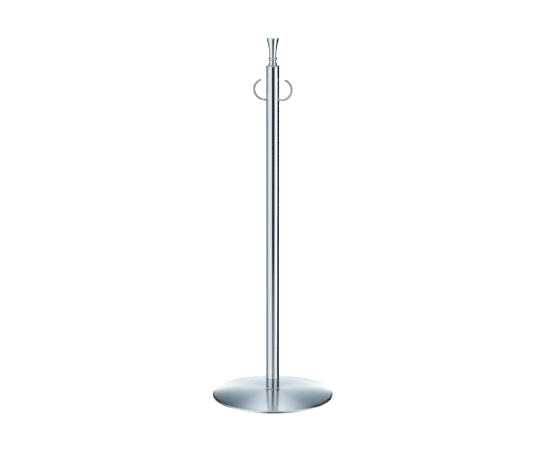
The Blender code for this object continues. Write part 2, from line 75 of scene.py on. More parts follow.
# The M12 bolt and the M10 stud, the threaded bores and countersinks that take them, and the plain
# holes that they pass through. All are radii, apart from the width across flats.
M12_RADIUS = 6.0 * MM
M12_BORE = 6.25 * MM
M12_MOUTH = 7.3 * MM
M12_WASHER_BORE = 6.3 * MM
M12_HOLE = 6.5 * MM
M12_FLATS = 18.5 * MM
M10_BORE = 5.25 * MM
M10_MOUTH = 6.1 * MM
M10_HOLE = 5.3 * MM

# Base cover: a flat seat, a dome that falls ever faster, a round edge and a curl under it.
SEAT_RADIUS = 19.0 * MM
SHEET = 1.2 * MM
DOME_POWER = 2.6
DOME_ROWS = 56
EDGE_RADIUS = 5.0 * MM
CURL_RADIUS = 2.2 * MM
CURL_END = -125 * DEGREE

# Hooks: a round rod, straight out of the tube and round in an open ring, with a shank inside the
# tube that is one step thinner and has evenly spaced rows.
HOOK_RING_RADIUS = 28.0 * MM
HOOK_TIP_ANGLE = 66 * DEGREE
HOOK_SHANK_END = 16.0 * MM
HOOK_SHANK_STEP = 0.1 * MM
HOOK_SHANK_ROW = 0.125 * MM
HOOK_ROWS = 110
HOOK_SIDES = 40
HOOK_TIP_ROWS = 8

# Finial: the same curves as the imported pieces, with finer rows.
NECK_RADIUS = 9.6 * MM
COLLAR_LIP = 0.8 * MM
COLLAR_FLARE_HEIGHT = 8.0 * MM
TRUMPET_WAIST = 8.0 * MM
TRUMPET_POWER = 1.5
TRUMPET_EDGE_RADIUS = 0.7 * MM
TRUMPET_CROWN = 0.6 * MM
FLARE_ROWS = 40

# Camera, matched to the photograph's viewing angle.
CAMERA_AZIMUTH = 9 * DEGREE
CAMERA_DISTANCE = 7.84
CAMERA_HEIGHT = 2.528
CAMERA_AIM_HEIGHT = 0.4842
CAMERA_AIM_ASIDE = 7.5 * MM
CAMERA_FOCAL_MM = 199.4

# Studio: the great sphere that the sky boards are part of, the floor boards and the floor itself.
SKY_RADIUS = 12.0
FLOOR_BOARD_HEIGHT = -2 * MM
BOARD_COLUMNS = 16
FLOOR_HALF_WIDTH = 30.0
FLOOR_DROP = 0.2 * MM


# ---------------------------------------------------------------- outlines and meshes


def rounded(corners, steps=CORNER_STEPS):
    """An outline of (radius, z) points from (radius, z, fillet) corners. A fillet of 0 stays sharp."""
    outline = []
    count = len(corners)
    for i, (radius, z, fillet) in enumerate(corners):
        here = Vector((radius, z))
        if fillet <= 0.0:
            outline.append(tuple(here))
            continue
        before = (Vector(corners[i - 1][:2]) - here).normalized()
        after = (Vector(corners[(i + 1) % count][:2]) - here).normalized()
        half = before.angle(after) / 2
        centre = here + (before + after).normalized() * fillet / math.sin(half)
        start = here + before * fillet / math.tan(half) - centre
        end = here + after * fillet / math.tan(half) - centre
        sweep = start.angle_signed(end)
        for step in range(steps + 1):
            turn = -sweep * step / steps
            spoke = Matrix.Rotation(turn, 2) @ start
            outline.append(tuple(centre + spoke))
    return outline


def arc(centre, size, start, end, steps):
    """Points on an arc about (radius, z), from one angle to another above the outward direction."""
    angles = [start + (end - start) * i / steps for i in range(steps + 1)]
    return [(centre[0] + size * math.cos(a), centre[1] + size * math.sin(a)) for a in angles]


def dense(start, end, rows):
    """Evenly spaced outline points from start to end, with both ends."""
    a, b = Vector(start), Vector(end)
    return [tuple(a.lerp(b, i / rows)) for i in range(rows + 1)]


def lathe(name, outline, steps, shape=None, offset=0.0):
    """A closed turned mesh. Outline points on the axis become poles, at its start and end only.

    shape(angle, radius, z) may change a point's radius, for hexagons and threads.
    """
    mesh = bpy.data.meshes.new(name)
    build = bmesh.new()
    rings = []
    for radius, z in outline:
        if radius <= 0.0:
            rings.append([build.verts.new((offset, 0.0, z))])
            continue
        ring = []
        for i in range(steps):
            angle = 2 * math.pi * i / steps
            reach = shape(angle, radius, z) if shape else radius
            ring.append(
                build.verts.new((offset + reach * math.cos(angle), reach * math.sin(angle), z))
            )
        rings.append(ring)
    pairs = list(zip(rings, rings[1:]))
    if len(rings[0]) > 1 and len(rings[-1]) > 1:
        pairs.append((rings[-1], rings[0]))
    for upper, lower in pairs:
        bridge(build, upper, lower, steps)
    bmesh.ops.recalc_face_normals(build, faces=build.faces)
    build.to_mesh(mesh)
    build.free()
    return finished(name, mesh)


def bridge(build, upper, lower, steps):
    """Faces between two neighbouring rings, either of which may be a single pole."""
    for i in range(steps):
        j = (i + 1) % steps
        if len(upper) == 1:
            build.faces.new((upper[0], lower[i], lower[j]))
        elif len(lower) == 1:
            build.faces.new((upper[i], lower[0], upper[j]))
        else:
            build.faces.new((upper[i], lower[i], lower[j], upper[j]))


def finished(name, mesh):
    """Smooth shading with crisp edges, and an object in the scene for the mesh."""
    mesh.shade_smooth()
    mesh.set_sharp_from_angle(angle=SHARP_ANGLE)
    piece = bpy.data.objects.new(name, mesh)
    bpy.context.scene.collection.objects.link(piece)
    return piece


def carve(piece, tool):
    """Cuts the tool out of the piece for good, and deletes the tool."""
    cut = piece.modifiers.new("cut", "BOOLEAN")
    cut.object = tool
    cut.solver = "EXACT"
    bpy.context.view_layer.update()
    graph = bpy.context.evaluated_depsgraph_get()
    mesh = bpy.data.meshes.new_from_object(piece.evaluated_get(graph))
    piece.modifiers.clear()
    piece.data = mesh
    mesh.shade_smooth()
    mesh.set_sharp_from_angle(angle=SHARP_ANGLE)
    bpy.data.objects.remove(tool)


def drill(piece, radius, length, centre, turn=None):
    """Cuts a round hole. turn takes its axis from +Z to its own direction."""
    tool = lathe(
        "drill", [(0.0, length / 2), (radius, length / 2), (radius, -length / 2), (0.0, -length / 2)],
        SMALL_STEPS,
    )
    tool.matrix_world = Matrix.Translation(centre) @ (turn or Matrix.Identity(4))
    carve(piece, tool)


def slab(name, size):
    """A flat-sided tool for cutting, centred on the origin."""
    mesh = bpy.data.meshes.new(name)
    build = bmesh.new()
    bmesh.ops.create_cube(build, size=1.0, matrix=Matrix.Diagonal((*size, 1.0)))
    build.to_mesh(mesh)
    build.free()
    tool = bpy.data.objects.new(name, mesh)
    bpy.context.scene.collection.objects.link(tool)
    return tool


def thread(pitch, low, high, inward):
    """A shape for lathe: a right-hand V thread between two heights, cut into a rod or into a bore."""
    depth = pitch * THREAD_DEPTH_SHARE

    def shape(angle, radius, z):
        if not low <= z <= high:
            return radius
        fade = min(1.0, (z - low) / pitch, (high - z) / pitch)
        phase = (z / pitch - angle / (2 * math.pi)) % 1.0
        cut = depth * fade * min(1.0, max(0.0, 1.25 - abs(4 * phase - 2.0) * 1.25))
        return radius - cut if inward else radius + cut

    return shape


def threaded_bore(bore, pitch, low, high):
    """A bore's wall between two heights, short of both countersinks, and the shape of its thread."""
    first, last = low + THREAD_RUN_OUT, high - THREAD_RUN_OUT
    rows = round((last - first) / pitch * THREAD_ROWS_PER_PITCH)
    return dense((bore, first), (bore, last), rows), thread(pitch, first, last, inward=False)


def hexagon(across_flats):
    """A shape for lathe that keeps points inside a hexagon."""

    def shape(angle, radius, z):
        side = (angle + 30 * DEGREE) % (60 * DEGREE) - 30 * DEGREE
        return min(radius, across_flats / 2 / math.cos(side))

    return shape


def ride_for(piece, node, material):
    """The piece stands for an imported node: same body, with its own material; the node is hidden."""
    body = next(name for name, nodes in BODY_NODES.items() if node in nodes)
    piece.data.materials.clear()
    piece.data.materials.append(material)
    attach(piece, body)
    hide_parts(node)
    return piece


BODY_NODES = frame["record"]["behaviour"]["bodies"]


# ---------------------------------------------------------------- materials


class Shader:
    """A Principled material, with short calls for the nodes that feed it."""

    def __init__(self, name, roughness, metallic):
        self.material = bpy.data.materials.new(name)
        self.material.use_nodes = True
        self.tree = self.material.node_tree
        self.shader = self.tree.nodes["Principled BSDF"]
        self.set("Roughness", roughness)
        self.set("Metallic", metallic)
        self.place = self.add("ShaderNodeTexCoord").outputs["Object"]

    def set(self, socket, value):
        self.shader.inputs[socket].default_value = value

    def add(self, kind, **settings):
        node = self.tree.nodes.new(kind)
        for name, value in settings.items():
            setattr(node, name, value)
        return node

    def join(self, source, target):
        self.tree.links.new(source, target)

    def feed(self, socket, source):
        self.join(source, self.shader.inputs[socket])

    def math(self, operation, first, second=0.0):
        node = self.add("ShaderNodeMath", operation=operation)
        for slot, value in zip(node.inputs, (first, second)):
            if isinstance(value, (int, float)):
                slot.default_value = value
            else:
                self.join(value, slot)
        return node.outputs[0]

    def radius(self):
        """Distance from the post's axis."""
        flat = self.add("ShaderNodeVectorMath", operation="MULTIPLY")
        self.join(self.place, flat.inputs[0])
        flat.inputs[1].default_value = (1.0, 1.0, 0.0)
        length = self.add("ShaderNodeVectorMath", operation="LENGTH")
        self.join(flat.outputs[0], length.inputs[0])
        return length.outputs["Value"]

    def height(self):
        split = self.add("ShaderNodeSeparateXYZ")
        self.join(self.place, split.inputs[0])
        return split.outputs["Z"]

    def noise(self, scale, detail=3.0, roughness=0.5, along=None):
        """Noise of a size in 1/metres, in space or along one coordinate."""
        node = self.add("ShaderNodeTexNoise", noise_dimensions="3D" if along is None else "1D")
        node.inputs["Scale"].default_value = scale
        node.inputs["Detail"].default_value = detail
        node.inputs["Roughness"].default_value = roughness
        if along is None:
            self.join(self.place, node.inputs["Vector"])
        else:
            self.join(along, node.inputs["W"])
        return node.outputs["Fac"]

    def spread(self, source, low, high):
        """Maps noise, which mostly lies between 0.3 and 0.7, onto a range of values."""
        node = self.add("ShaderNodeMapRange")
        self.join(source, node.inputs["Value"])
        node.inputs["From Min"].default_value = 0.3
        node.inputs["From Max"].default_value = 0.7
        node.inputs["To Min"].default_value = low
        node.inputs["To Max"].default_value = high
        return node.outputs["Result"]

    def tint(self, source, low, high):
        """A colour that runs from low to high with the source."""
        node = self.add("ShaderNodeMix", data_type="RGBA")
        self.join(source, node.inputs["Factor"])
        node.inputs["A"].default_value = (*low, 1.0)
        node.inputs["B"].default_value = (*high, 1.0)
        return node.outputs["Result"]

    def bump(self, source, depth, strength=1.0):
        """Relief of a real depth in metres."""
        node = self.add("ShaderNodeBump")
        node.inputs["Strength"].default_value = strength
        node.inputs["Distance"].default_value = depth
        self.join(source, node.inputs["Height"])
        self.feed("Normal", node.outputs["Normal"])

    def brushed(self, amount):
        """Fine parallel lines round the post's axis, as a stretch of the highlight across them."""
        tangent = self.add("ShaderNodeTangent", direction_type="RADIAL", axis="Z")
        self.feed("Tangent", tangent.outputs["Tangent"])
        self.set("Anisotropic", amount)
        self.set("Anisotropic Rotation", 0.25)


def brushed_dome():
    """Satin stainless steel, brushed in circles: fine rings, broader bands and a little cloud."""
    steel = Shader("satin_dome", 0.22, 1.0)
    radius = steel.radius()
    rings = steel.noise(2600.0, 2.0, 0.6, along=radius)
    bands = steel.noise(90.0, 3.0, 0.5, along=radius)
    cloud = steel.noise(14.0, 3.0, 0.5)
    steel.feed("Base Color", steel.tint(bands, (0.74, 0.78, 0.81), (0.78, 0.82, 0.84)))
    rough = steel.math("ADD", steel.spread(rings, 0.20, 0.24), steel.spread(cloud, -0.01, 0.01))
    steel.feed("Roughness", rough)
    steel.brushed(1.0)
    steel.bump(rings, 0.002 * MM, 0.4)
    return steel.material


def polished_steel(name, low, high, roughness, line_scale):
    """Polished metal with faint turned lines round the axis and a trace of haze."""
    steel = Shader(name, roughness, 1.0)
    lines = steel.noise(line_scale, 2.0, 0.6, along=steel.height())
    haze = steel.noise(22.0, 4.0, 0.55)
    steel.feed("Base Color", steel.tint(haze, low, high))
    spread = roughness * 0.25
    steel.feed("Roughness", steel.spread(haze, roughness - spread, roughness + spread))
    steel.brushed(0.3)
    steel.bump(lines, 0.0006 * MM, 0.3)
    return steel.material


def drawn_rod():
    """Polished bar, with faint lines left along it by the drawing die."""
    steel = Shader("polished_rod", 0.20, 1.0)
    grain = steel.noise(900.0, 3.0, 0.6)
    haze = steel.noise(60.0, 3.0, 0.5)
    steel.feed("Base Color", steel.tint(haze, (0.62, 0.63, 0.62), (0.70, 0.71, 0.70)))
    steel.feed("Roughness", steel.spread(haze, 0.17, 0.23))
    steel.bump(grain, 0.002 * MM, 0.25)
    return steel.material


def plated_steel():
    """Zinc plate: a cool sheen with yellowish patches and a fine grain."""
    steel = Shader("zinc_plate", 0.38, 1.0)
    patches = steel.noise(120.0, 4.0, 0.6)
    grain = steel.noise(2400.0, 2.0, 0.5)
    steel.feed("Base Color", steel.tint(patches, (0.56, 0.57, 0.58), (0.66, 0.64, 0.56)))
    steel.feed("Roughness", steel.spread(patches, 0.30, 0.46))
    steel.bump(grain, 0.01 * MM, 0.3)
    return steel.material


def turned_steel():
    """Bare machined steel with tool lines and darker stains."""
    steel = Shader("turned_steel", 0.42, 1.0)
    stains = steel.noise(160.0, 4.0, 0.6)
    lines = steel.noise(3000.0, 2.0, 0.5, along=steel.height())
    steel.feed("Base Color", steel.tint(stains, (0.34, 0.34, 0.35), (0.48, 0.47, 0.46)))
    steel.feed("Roughness", steel.spread(stains, 0.34, 0.52))
    steel.bump(lines, 0.006 * MM, 0.5)
    return steel.material


def cast_iron():
    """Black-painted casting: pitted, with rust-brown in the low spots."""
    iron = Shader("painted_casting", 0.75, 0.2)
    pits = iron.noise(420.0, 5.0, 0.6)
    rust = iron.noise(60.0, 4.0, 0.6)
    iron.feed("Base Color", iron.tint(rust, (0.045, 0.042, 0.042), (0.075, 0.060, 0.052)))
    iron.feed("Roughness", iron.spread(pits, 0.62, 0.86))
    iron.bump(pits, 0.25 * MM, 0.6)
    return iron.material


def black_rubber():
    """Moulded rubber, with a fine matt grain and a little grey dust."""
    rubber = Shader("moulded_rubber", 0.8, 0.0)
    dust = rubber.noise(45.0, 4.0, 0.6)
    grain = rubber.noise(1800.0, 2.0, 0.5)
    rubber.feed("Base Color", rubber.tint(dust, (0.018, 0.018, 0.019), (0.040, 0.039, 0.037)))
    rubber.feed("Roughness", rubber.spread(grain, 0.70, 0.88))
    rubber.bump(grain, 0.03 * MM, 0.5)
    return rubber.material


def white_nylon():
    """Natural nylon: off-white, slightly waxy."""
    nylon = Shader("natural_nylon", 0.45, 0.0)
    mottle = nylon.noise(300.0, 3.0, 0.5)
    nylon.feed("Base Color", nylon.tint(mottle, (0.62, 0.63, 0.63), (0.70, 0.71, 0.71)))
    nylon.feed("Roughness", nylon.spread(mottle, 0.38, 0.52))
    nylon.bump(mottle, 0.02 * MM, 0.3)
    return nylon.material


SATIN = brushed_dome()
POLISHED = polished_steel("polished_tube", (0.76, 0.78, 0.80), (0.79, 0.81, 0.83), 0.045, 5000.0)
CHROME = polished_steel("polished_finial", (0.78, 0.82, 0.85), (0.82, 0.86, 0.89), 0.04, 7000.0)
ROD = drawn_rod()
ZINC = plated_steel()
STEEL = turned_steel()
IRON = cast_iron()
RUBBER = black_rubber()
NYLON = white_nylon()


# ---------------------------------------------------------------- base


def dome_height(radius, top, edge):
    if radius <= SEAT_RADIUS:
        return top
    share = (radius - SEAT_RADIUS) / (edge[0] - SEAT_RADIUS)
    return top - (top - edge[1]) * share**DOME_POWER


def cover_sizes():
    """Where the dome meets the round edge, the edge's and the curl's centres, and the start angle."""
    low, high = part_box("base_cover")
    rim = low.z + CURL_RADIUS
    edge_centre = (high.x - EDGE_RADIUS, rim)
    curl_centre = (high.x - CURL_RADIUS, rim)
    slope = 0.0
    for _ in range(20):
        edge = (
            edge_centre[0] + EDGE_RADIUS * math.sin(slope),
            edge_centre[1] + EDGE_RADIUS * math.cos(slope),
        )
        slope = math.atan(DOME_POWER * (high.z - edge[1]) / (edge[0] - SEAT_RADIUS))
    return high.z, edge, edge_centre, curl_centre, math.pi / 2 - slope


def dome_rows(depth, outer_radius):
    """Outline points at a depth below the dome's outside, from the flat seat outwards."""
    top, edge = cover_sizes()[:2]
    points = []
    for i in range(DOME_ROWS + 1):
        radius = SEAT_RADIUS + (outer_radius - SEAT_RADIUS) * i / DOME_ROWS
        height = dome_height(radius, top, edge)
        run = max(radius - SEAT_RADIUS, 1e-9)
        slope = math.atan(DOME_POWER * (top - height) / run)
        points.append((radius - depth * math.sin(slope), height - depth * math.cos(slope)))
    return points


def make_cover():
    top, edge, edge_centre, curl_centre, start = cover_sizes()
    outline = [(M12_HOLE, top)] + dome_rows(0.0, edge[0])
    outline += arc(edge_centre, EDGE_RADIUS, start, 0.0, 28)[1:]
    outline += arc(curl_centre, CURL_RADIUS, 0.0, CURL_END, 16)[1:]
    outline += arc(curl_centre, CURL_RADIUS - SHEET, CURL_END, 0.0, 12)
    outline += arc(edge_centre, EDGE_RADIUS - SHEET, 0.0, start, 20)[1:]
    outline += dome_rows(SHEET, edge[0])[::-1][1:]
    outline.append((M12_HOLE, top - SHEET))
    ride_for(lathe("domed_cover", outline, FINE_STEPS), "base_cover", SATIN)


def make_ballast():
    """A casting that follows the dome's inside, with a pocket below for the bolt's head."""
    low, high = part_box("ballast_plate")
    depth = cover_sizes()[0] - high.z
    pocket, pocket_top, edge = 20.0 * MM, 12.9 * MM, 1.0 * MM
    top = dome_rows(depth, high.x)
    corners = [(M12_HOLE, high.z, 0.0)]
    corners += [(radius, z, 0.0) for radius, z in top]
    corners += [
        (high.x, top[-1][1] - edge, 0.0),
        (high.x, low.z, edge),
        (pocket, low.z, edge),
        (pocket, pocket_top, edge / 2),
        (M12_HOLE, pocket_top, 0.0),
    ]
    piece = lathe("cast_weight", rounded(corners), FINE_STEPS)
    ride_for(piece, "ballast_plate", IRON)


def make_floor_pad():
    """Rubber disc with concentric grip grooves in its underside."""
    low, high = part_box("floor_pad")
    hole, groove, land, depth = 22.0 * MM, 2.0 * MM, 8.0 * MM, 0.8 * MM
    corners = [(hole, high.z, 0.3 * MM), (high.x, high.z, 0.4 * MM), (high.x, low.z, 0.8 * MM)]
    radius = high.x - land
    while radius > hole + land:
        corners += [
            (radius, low.z, 0.15 * MM),
            (radius - groove / 4, low.z + depth, 0.15 * MM),
            (radius - groove * 3 / 4, low.z + depth, 0.15 * MM),
            (radius - groove, low.z, 0.15 * MM),
        ]
        radius -= land + groove
    corners.append((hole, low.z, 0.3 * MM))
    piece = lathe("grooved_floor_pad", rounded(corners, 3), FINE_STEPS)
    ride_for(piece, "floor_pad", RUBBER)


def make_base_bolt():
    """Hexagon bolt, head down, with a fillet at its head and a threaded upper end."""
    low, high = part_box("base_bolt")
    head, fillet, chamfer, threaded = 7.5 * MM, 0.6 * MM, 1.6 * MM, 30 * MM
    radius, corner = M12_RADIUS, M12_FLATS / math.sqrt(3.0)
    shoulder = low.z + head
    rows = round((high.z - shoulder) / M12_PITCH * THREAD_ROWS_PER_PITCH)
    point = 1.4 * MM
    outline = [(0.0, high.z), (radius - point, high.z)]
    outline += dense((radius - point / 3, high.z - point), (radius, high.z - 2 * point), 4)
    outline += dense((radius, high.z - 2 * point), (radius, shoulder + fillet), rows)[1:]
    outline += arc((radius + fillet, shoulder + fillet), fillet, math.pi, 1.5 * math.pi, 5)[1:]
    outline += dense((0.46 * M12_FLATS, shoulder), (corner, shoulder), 3)
    outline += dense((corner, shoulder), (corner, low.z + chamfer), 4)[1:]
    outline += dense((corner, low.z + chamfer), (0.48 * M12_FLATS, low.z), 12)[1:]
    outline.append((0.0, low.z))
    spiral = thread(M12_PITCH, high.z - threaded, high.z - THREAD_RUN_OUT, inward=True)
    shank = radius + 1.5 * MM
    flat = hexagon(M12_FLATS)

    def shape(angle, reach, z):
        if z > shoulder or reach < shank:
            return spiral(angle, reach, z) if reach < shank else reach
        return flat(angle, reach, z)

    piece = lathe("clamp_bolt", outline, 2 * SMALL_STEPS, shape)
    ride_for(piece, "base_bolt", ZINC)


def make_washer(node, name, material, bore=M12_WASHER_BORE, edge=0.3 * MM):
    """A flat ring with softened edges."""
    low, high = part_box(node)
    corners = [
        (bore, high.z, edge / 2),
        (high.x, high.z, edge),
        (high.x, low.z, edge),
        (bore, low.z, edge / 2),
    ]
    piece = lathe(name, rounded(corners), SMALL_STEPS)
    return ride_for(piece, node, material)


def make_lock_washer():
    """A square-section ring with a slanted cut across it."""
    piece = make_washer("lock_washer", "split_washer", STEEL, edge=0.2 * MM)
    low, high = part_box("lock_washer")
    gap, slant = 1.2 * MM, 20 * DEGREE
    tool = slab("slot", (gap, 2 * high.x, 4 * (high.z - low.z)))
    middle = Vector((0.0, high.x, (low.z + high.z) / 2))
    tool.matrix_world = Matrix.Translation(middle) @ Matrix.Rotation(slant, 4, "Y")
    carve(piece, tool)


def make_clamp_nut():
    """Hexagon nut with chamfered corners and a countersunk thread."""
    low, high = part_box("clamp_nut")
    corner, bevel = M12_FLATS / math.sqrt(3.0), 1.4 * MM
    outline = [(M12_MOUTH, high.z), (0.48 * M12_FLATS, high.z)]
    outline += dense((0.48 * M12_FLATS, high.z), (corner, high.z - bevel), 12)[1:]
    outline += dense((corner, high.z - bevel), (corner, low.z + bevel), 4)[1:]
    outline += dense((corner, low.z + bevel), (0.48 * M12_FLATS, low.z), 12)[1:]
    outline += [(M12_MOUTH, low.z)]
    wall, spiral = threaded_bore(M12_BORE, M12_PITCH, low.z, high.z)
    outline += wall
    flat = hexagon(M12_FLATS)

    def shape(angle, reach, z):
        return spiral(angle, reach, z) if reach < M12_MOUTH else flat(angle, reach, z)

    piece = lathe("hexagon_nut", outline, 2 * SMALL_STEPS, shape)
    ride_for(piece, "clamp_nut", ZINC)


# ---------------------------------------------------------------- post


def make_gasket():
    """The thin ring between the tube's foot and the dome."""
    low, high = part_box("post_gasket")
    inner = 13.0 * MM
    corners = [
        (inner, high.z, 0.2 * MM),
        (high.x, high.z, 0.35 * MM),
        (high.x, low.z, 0.35 * MM),
        (inner, low.z, 0.2 * MM),
    ]
    piece = lathe("foot_ring", rounded(corners), MEDIUM_STEPS)
    ride_for(piece, "post_gasket", NYLON)


def make_tube():
    """The tube, with broken edges and a hole on each side for the hooks."""
    low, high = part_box("post_tube")
    wall, edge, bevel, lip = 1.5 * MM, 0.35 * MM, 0.3 * MM, 1 * MM
    outer, bore = high.x, high.x - wall
    hole = hook_height()
    above, below = hole + 12 * MM, hole - 12 * MM
    outline = [(bore, high.z - bevel), (bore + bevel, high.z)]
    # A row close to each rounded edge keeps the long straight wall shaded straight.
    top_row, foot_row = (outer, high.z - 2 * edge, 0.0), (outer, low.z + 2 * edge, 0.0)
    outline += rounded([(outer - lip, high.z, 0.0), (outer, high.z, edge), top_row])[1:]
    outline += [(outer, above), (outer, below)]
    outline += rounded([foot_row, (outer, low.z, edge), (outer - lip, low.z, 0.0)])[:-1]
    outline += [(bore + bevel, low.z), (bore, low.z + bevel), (bore, below), (bore, above)]
    piece = lathe("polished_tube_body", outline, FINE_STEPS)
    drill(piece, HOOK_ROD_RADIUS + 0.12 * MM, 4 * outer, Vector((0.0, 0.0, hole)), ACROSS)
    ride_for(piece, "post_tube", POLISHED)


def make_foot_plug():
    """The slug in the tube's foot, with a countersunk thread for the bolt."""
    low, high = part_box("foot_plug")
    edge = 0.6 * MM
    outline = rounded([
        (M12_MOUTH, high.z, 0.0),
        (high.x, high.z, edge),
        (high.x, low.z, edge),
        (M12_MOUTH, low.z, 0.0),
    ])
    wall, spiral = threaded_bore(M12_BORE, M12_PITCH, low.z, high.z)
    piece = lathe(
        "threaded_foot_plug", outline + wall, SMALL_STEPS,
        lambda angle, reach, z: spiral(angle, reach, z) if reach < M12_MOUTH else reach,
    )
    ride_for(piece, "foot_plug", STEEL)


def make_hook_block():
    """A slug, drilled across for the hooks' shanks and from above for their set screws."""
    low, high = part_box("hook_block")
    edge = 0.6 * MM
    corners = [(0.0, high.z, 0.0), (high.x, high.z, edge), (high.x, low.z, edge), (0.0, low.z, 0.0)]
    piece = lathe("cross_drilled_block", rounded(corners), SMALL_STEPS)
    drill(piece, HOOK_ROD_RADIUS + 0.2 * MM, 4 * high.x, Vector((0.0, 0.0, hook_height())), ACROSS)
    for node in ("hook_screw_left", "hook_screw_right"):
        first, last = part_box(node)
        offset = (first.x + last.x) / 2
        radius = (last.x - first.x) / 2 + 0.2 * MM
        depth = 2 * (high.z - hook_height())
        drill(piece, radius, depth, Vector((offset, 0.0, high.z)))
    ride_for(piece, "hook_block", STEEL)


def hook_height():
    """Height of both hooks' shanks, which is one rod's radius above the hooks' lowest point."""
    low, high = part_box("hook_right")
    return low.z + (high.y - low.y) / 2


def hook_path(side):
    """(x, z, radius) along one hook, from its thinner shank inside the post to its rounded tip."""
    low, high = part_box("hook_right")
    rod = HOOK_ROD_RADIUS
    shank, chamfer_end = rod - HOOK_SHANK_STEP, low.x + 0.5 * MM
    offset = high.x - rod - HOOK_RING_RADIUS
    path = [(low.x, 0.0, 0.0), (low.x, 0.0, 0.8 * rod)]
    rows = round((HOOK_SHANK_END - low.x) / HOOK_SHANK_ROW)
    path += [(x, z, shank) for x, z in dense((chamfer_end, 0.0), (HOOK_SHANK_END, 0.0), rows)]
    path.append((HOOK_SHANK_END + 2 * HOOK_SHANK_STEP, 0.0, rod))
    for i in range(HOOK_ROWS + 1):
        angle = -math.pi / 2 + (HOOK_TIP_ANGLE + math.pi / 2) * i / HOOK_ROWS
        path.append((
            offset + HOOK_RING_RADIUS * math.cos(angle),
            HOOK_RING_RADIUS * (1.0 + math.sin(angle)),
            rod,
        ))
    along = Vector((-math.sin(HOOK_TIP_ANGLE), math.cos(HOOK_TIP_ANGLE)))
    end = Vector(path[-1][:2])
    for i in range(1, HOOK_TIP_ROWS + 1):
        turn = math.pi / 2 * i / HOOK_TIP_ROWS
        reach = end + along * rod * math.sin(turn)
        path.append((reach.x, reach.y, rod * math.cos(turn)))
    return [(side * x, z, radius) for x, z, radius in path]


def sweep(name, path, height, sides):
    """A round rod along a path in the XZ plane, closed at both ends."""
    mesh = bpy.data.meshes.new(name)
    build = bmesh.new()
    rings = []
    points = [Vector((x, 0.0, height + z)) for x, z, _ in path]
    for i, (point, (_, _, radius)) in enumerate(zip(points, path)):
        if radius < 1e-7:
            rings.append([build.verts.new(point)])
            continue
        ahead = points[min(i + 1, len(points) - 1)] - points[max(i - 1, 0)]
        across = ahead.normalized().cross(Vector((0.0, 1.0, 0.0)))
        ring = []
        for step in range(sides):
            angle = 2 * math.pi * step / sides
            spoke = across * math.cos(angle) + Vector((0.0, math.sin(angle), 0.0))
            ring.append(build.verts.new(point + spoke * radius))
        rings.append(ring)
    for first, second in zip(rings, rings[1:]):
        bridge(build, first, second, sides)
    bmesh.ops.recalc_face_normals(build, faces=build.faces)
    build.to_mesh(mesh)
    build.free()
    return finished(name, mesh)


def make_hook(node, name, side):
    piece = sweep(name, hook_path(side), hook_height(), HOOK_SIDES)
    ride_for(piece, node, ROD)


def make_set_screw(node, name):
    """Socket screw with a rounded cup point and a hexagon socket."""
    low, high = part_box(node)
    offset, radius = (low.x + high.x) / 2, (high.x - low.x) / 2
    socket, depth = 2.5 * MM, 2.5 * MM
    corners = [
        (socket / 2, high.z, 0.0),
        (radius, high.z, 0.4 * MM),
        (radius, low.z, 0.7 * MM),
        (radius / 2, low.z, 0.0),
        (0.0, low.z + 0.4 * MM, 0.0),
    ]
    outline = [(0.0, high.z - depth), (socket, high.z - depth)] + rounded(corners)[1:]
    flat = hexagon(socket)

    def shape(angle, reach, z):
        return flat(angle, reach, z) if z < high.z - depth / 2 and reach == socket else reach

    outline.insert(2, (socket * 0.999, high.z))
    piece = lathe(name, outline, SMALL_STEPS, shape, offset)
    ride_for(piece, node, STEEL)


def make_top_cap():
    """The rounded shoulder on top of the tube, its spigot inside the tube, and a threaded bore."""
    low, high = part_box("top_cap")
    spigot, flange = 15.7 * MM, high.z - 3.2 * MM
    outline = rounded([
        (M10_MOUTH, high.z, 0.0),
        (high.x, high.z, 1.8 * MM),
        (high.x, flange, 0.2 * MM),
        (spigot, flange, 0.0),
        (spigot, low.z, 0.6 * MM),
        (M10_MOUTH, low.z, 0.0),
    ], 10)
    wall, spiral = threaded_bore(M10_BORE, M10_PITCH, low.z, high.z)
    piece = lathe(
        "shouldered_cap", outline + wall, MEDIUM_STEPS,
        lambda angle, reach, z: spiral(angle, reach, z) if reach < M10_MOUTH else reach,
    )
    ride_for(piece, "top_cap", POLISHED)


# ---------------------------------------------------------------- finial


def make_stud():
    """Threaded rod with chamfered ends."""
    low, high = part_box("finial_stud")
    radius, point = high.x, 1.2 * MM
    rows = round((high.z - low.z - 2 * point) / M10_PITCH * THREAD_ROWS_PER_PITCH)
    outline = [(0.0, high.z), (radius - point / 2, high.z)]
    outline += dense((radius, high.z - point), (radius, low.z + point), rows)
    outline += [(radius - point, low.z), (0.0, low.z)]
    spiral = thread(M10_PITCH, low.z + point / 2, high.z - point / 2, inward=True)
    piece = lathe("threaded_stud", outline, SMALL_STEPS, spiral)
    ride_for(piece, "finial_stud", ZINC)


def make_collar():
    """The finial's lower neck, which flares out to its foot."""
    low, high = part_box("finial_collar")
    bore, foot = M10_HOLE, high.x
    outline = rounded([
        (bore, high.z, 0.0),
        (NECK_RADIUS + 0.3 * MM, high.z, 0.15 * MM),
        (NECK_RADIUS, high.z - 1.5 * MM, 0.0),
    ])[:-1]
    for i in range(FLARE_ROWS + 1):
        share = i / FLARE_ROWS
        radius = NECK_RADIUS + (foot - NECK_RADIUS) * share**2
        outline.append((radius, low.z + COLLAR_LIP + COLLAR_FLARE_HEIGHT * (1.0 - share)))
    lip = [(foot, low.z + COLLAR_LIP, 0.0), (foot, low.z, 0.25 * MM), (bore, low.z, 0.0)]
    outline += rounded(lip)[1:]
    piece = lathe("lower_neck", outline, MEDIUM_STEPS)
    ride_for(piece, "finial_collar", CHROME)


